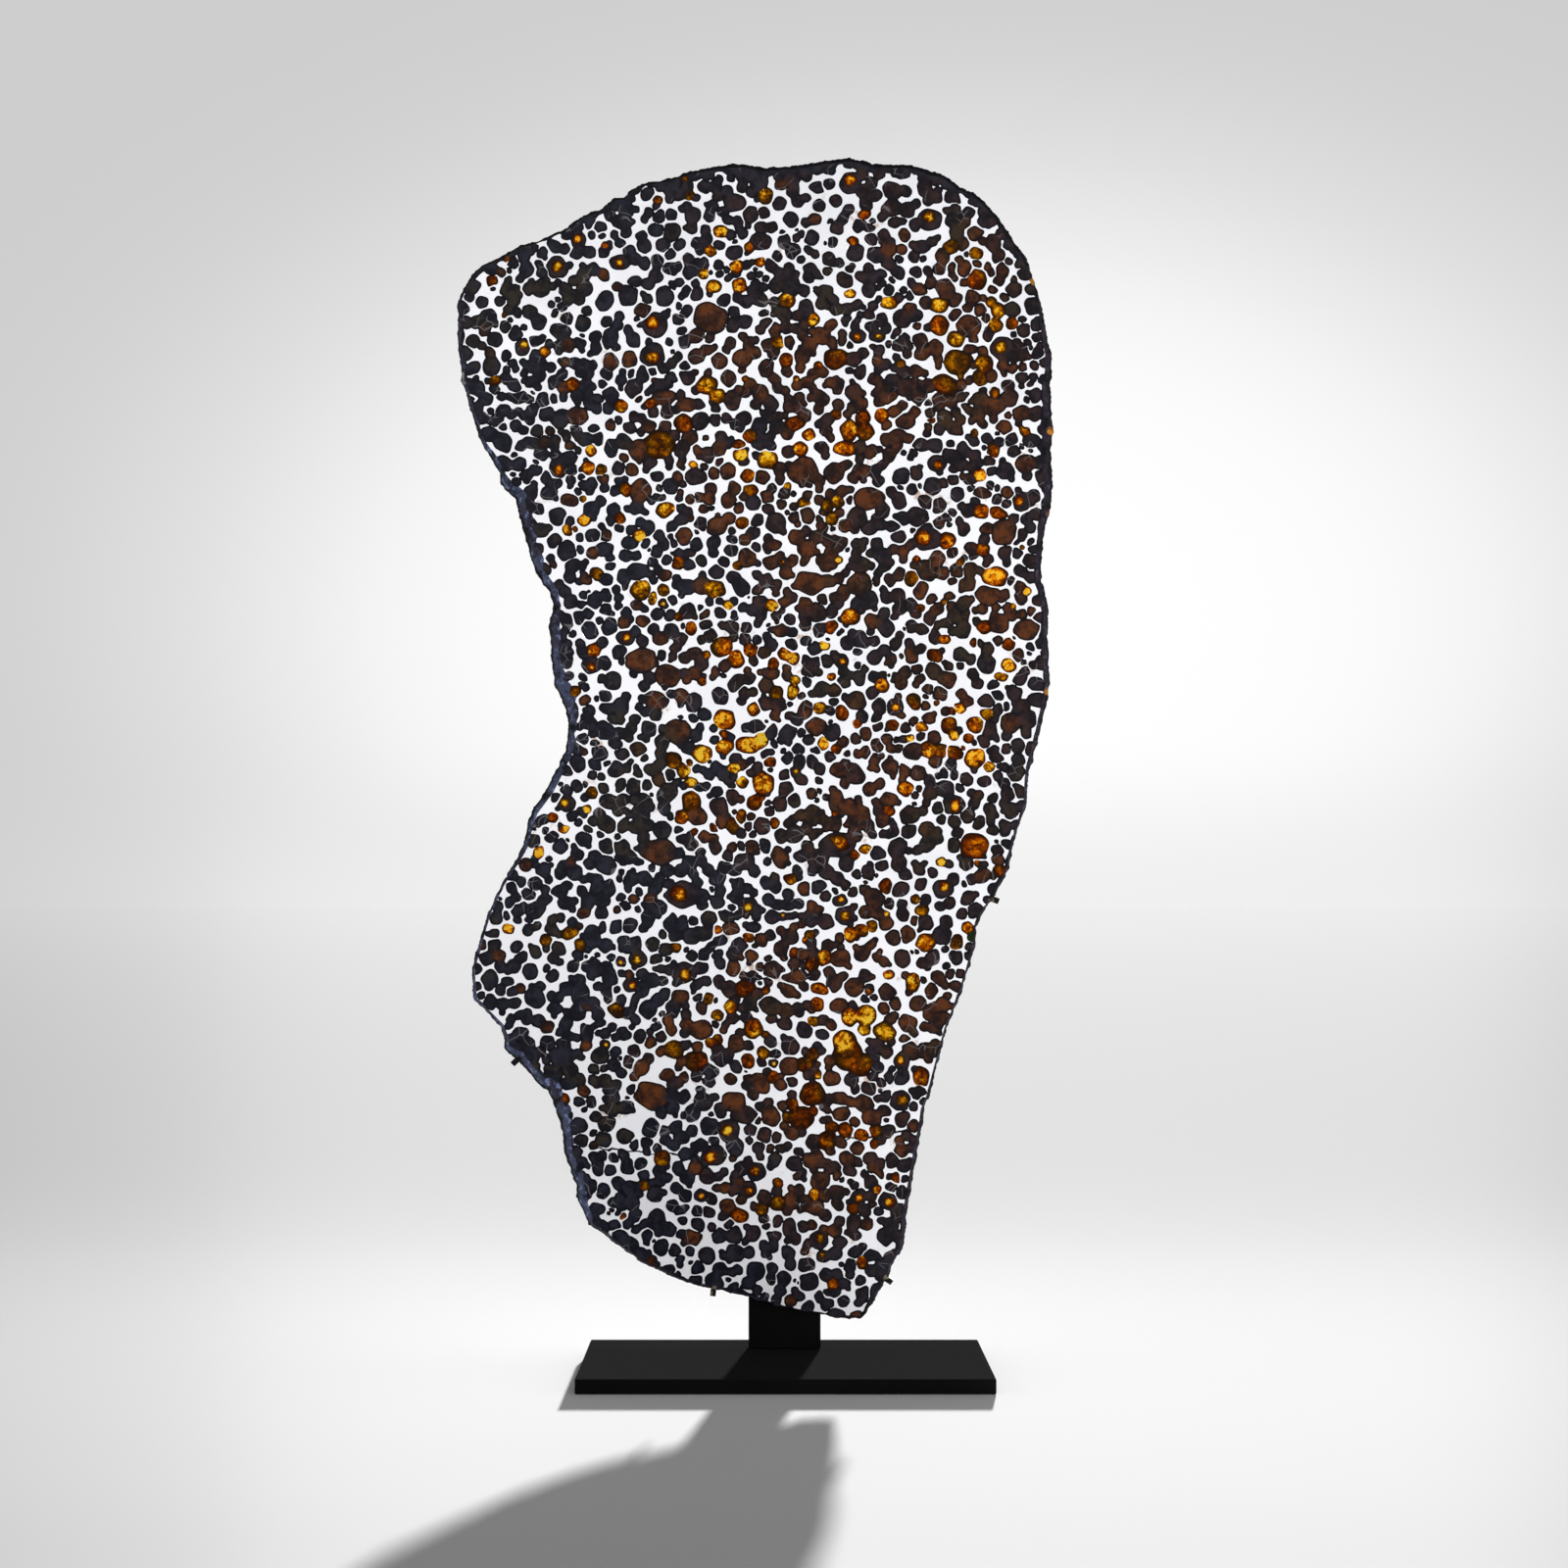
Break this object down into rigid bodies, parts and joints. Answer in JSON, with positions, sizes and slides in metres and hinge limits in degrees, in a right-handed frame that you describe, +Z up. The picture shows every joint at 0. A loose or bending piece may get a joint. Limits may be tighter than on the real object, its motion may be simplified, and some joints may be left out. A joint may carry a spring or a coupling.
{
  "type": "pallasite meteorite slice",
  "caption": "Tall polished slice of stony-iron meteorite, amber and dark olivine crystals in bright iron-nickel, held upright by small clips on a black steel stand.",
  "frame": {"origin": "centre of the base plate's underside, on the surface it stands on", "axes": "+Z up, +X to the right seen from the front, +Y to the back: the slice's front face looks along -Y"},
  "size_m": [0.4195, 0.15, 0.85],
  "materials": {
    "iron_nickel": "mirror-polished iron-nickel filled with dark to amber olivine crystals, rough dark natural edge",
    "black_steel": "satin black",
    "dark_bronze": "dark patinated bronze, satin"
  },
  "bodies": {
    "root": {"meteorite_slice": "iron_nickel", "base_plate": "black_steel", "post": "black_steel", "back_rest": "black_steel", "arm_left": "black_steel", "arm_right": "black_steel", "arm_lower_left": "black_steel", "arm_lower_right": "black_steel", "clip_left": "dark_bronze", "clip_right": "dark_bronze", "clip_lower_left": "dark_bronze", "clip_lower_right": "dark_bronze"}
  },
  "joints": []
}
